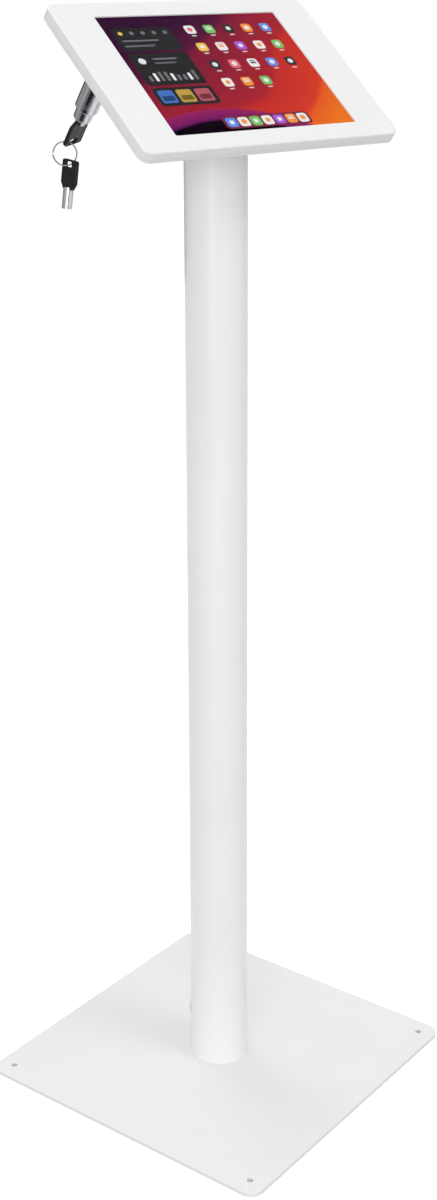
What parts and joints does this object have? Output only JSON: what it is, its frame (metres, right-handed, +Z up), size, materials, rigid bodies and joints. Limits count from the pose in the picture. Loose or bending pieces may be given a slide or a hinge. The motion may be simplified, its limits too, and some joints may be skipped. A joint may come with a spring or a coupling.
{
  "type": "adjustable tablet floor stand",
  "caption": "White floor stand with a square base, round column, swivel and tilt head, and a locking casing that holds a tablet, with keys in its cam lock.",
  "frame": {"origin": "middle of the base plate's underside, on the floor", "axes": "+Z up along the column; the base plate's edges lie along X and Y; its front faces -Y; the head is stored turned 15 degrees towards -X and its screen 38 degrees from level"},
  "size_m": [0.35, 0.35, 1.1024],
  "materials": {
    "white_paint": "satin powder coat",
    "plain_steel": "zinc-plated",
    "black_screws": "black oxide",
    "white_screws": "painted",
    "chrome": "polished",
    "lock_brass": "nickel-plated",
    "ring_wire": "bright nickel",
    "key_plastic": "fine grained",
    "nylon": "natural",
    "grommet_rubber": "matte",
    "foam": "closed-cell foam",
    "tablet_metal": "bead-blasted",
    "tablet_glass": "polished",
    "screen": "lit display",
    "cells": "film-wrapped",
    "board": "solder resist"
  },
  "bodies": {
    "stand": {"base_plate": "white_paint", "base_screws": "black_screws", "foot_plug": "plain_steel", "column_tube": "white_paint", "cable_grommet": "grommet_rubber", "column_cap": "white_paint", "cap_screws": "white_screws", "stop_pin": "plain_steel"},
    "yoke": {"swivel_washer": "nylon", "tilt_yoke": "white_paint", "thrust_washer": "plain_steel", "disc_spring": "plain_steel", "swivel_nut": "plain_steel", "tilt_bolt": "plain_steel", "tilt_nut": "plain_steel", "tilt_washers": "nylon"},
    "head": {"head_bracket": "white_paint", "mount_screws": "white_screws", "press_nuts": "plain_steel", "back_tray": "white_paint", "tray_grommet": "grommet_rubber", "back_pads": "foam", "corner_foams": "foam", "tablet_shell": "tablet_metal", "tablet_glass": "tablet_glass", "tablet_display": "screen", "tablet_battery": "cells", "tablet_board": "board", "hinge_leaves_tray": "white_paint", "hinge_pins": "plain_steel", "lock_housing": "chrome", "lock_nut": "lock_brass"},
    "cover": {"front_cover": "white_paint", "cover_catch": "white_paint", "hinge_leaves_cover": "white_paint"},
    "power_button": {"power_button": "tablet_metal"},
    "volume_up_button": {"volume_up_button": "tablet_metal"},
    "volume_down_button": {"volume_down_button": "tablet_metal"},
    "lock_plug": {"lock_plug": "lock_brass", "lock_pins": "plain_steel", "lock_cam": "plain_steel", "cam_screw": "plain_steel"},
    "key": {"key_barrel": "chrome", "key_bow": "key_plastic"},
    "key_ring": {"key_ring": "ring_wire"},
    "spare_key": {"spare_barrel": "chrome", "spare_bow": "key_plastic"}
  },
  "joints": [
    {"name": "swivel", "type": "hinge", "parent": "stand", "child": "yoke", "pos_m": [0, 0, 0.985], "axis": [0, 0, 1], "range_deg": [-75, 105]},
    {"name": "tilt", "type": "hinge", "parent": "yoke", "child": "head", "pos_m": [0, 0, 1.0207], "axis": [0.9659, -0.2588, 0], "range_deg": [-38, 22]},
    {"name": "cover_open", "type": "hinge", "parent": "head", "child": "cover", "pos_m": [0.14066, -0.05056, 1.03662], "axis": [0.204, 0.7612, 0.6157], "range_deg": [0, 120]},
    {"name": "power_press", "type": "slide", "parent": "head", "child": "power_button", "axis": [0.9659, -0.2588, 0], "range_m": [0, 0.0004], "stiffness_N_per_m": 1000, "springref_m": -0.0002},
    {"name": "volume_up_press", "type": "slide", "parent": "head", "child": "volume_up_button", "axis": [-0.204, -0.7612, -0.6157], "range_m": [0, 0.0004], "stiffness_N_per_m": 1000, "springref_m": -0.0002},
    {"name": "volume_down_press", "type": "slide", "parent": "head", "child": "volume_down_button", "axis": [-0.204, -0.7612, -0.6157], "range_m": [0, 0.0004], "stiffness_N_per_m": 1000, "springref_m": -0.0002},
    {"name": "lock_turn", "type": "hinge", "parent": "head", "child": "lock_plug", "pos_m": [-0.13258, 0.02294, 1.04763], "axis": [-0.1593, -0.5947, 0.788], "range_deg": [0, 90]},
    {"name": "key_pull", "type": "slide", "parent": "lock_plug", "child": "key", "axis": [0.1593, 0.5947, -0.788], "range_m": [0, 0.015]},
    {"name": "ring_swing", "type": "hinge", "parent": "key", "child": "key_ring", "pos_m": [-0.12354, 0.07159, 0.98281], "axis": [0.5583, -0.7319, -0.3907], "range_deg": [-30, 30]},
    {"name": "spare_key_swing", "type": "hinge", "parent": "key_ring", "child": "spare_key", "pos_m": [-0.12354, 0.07159, 0.96301], "axis": [0.5583, -0.7319, 0.3907], "range_deg": [-20, 35]}
  ]
}
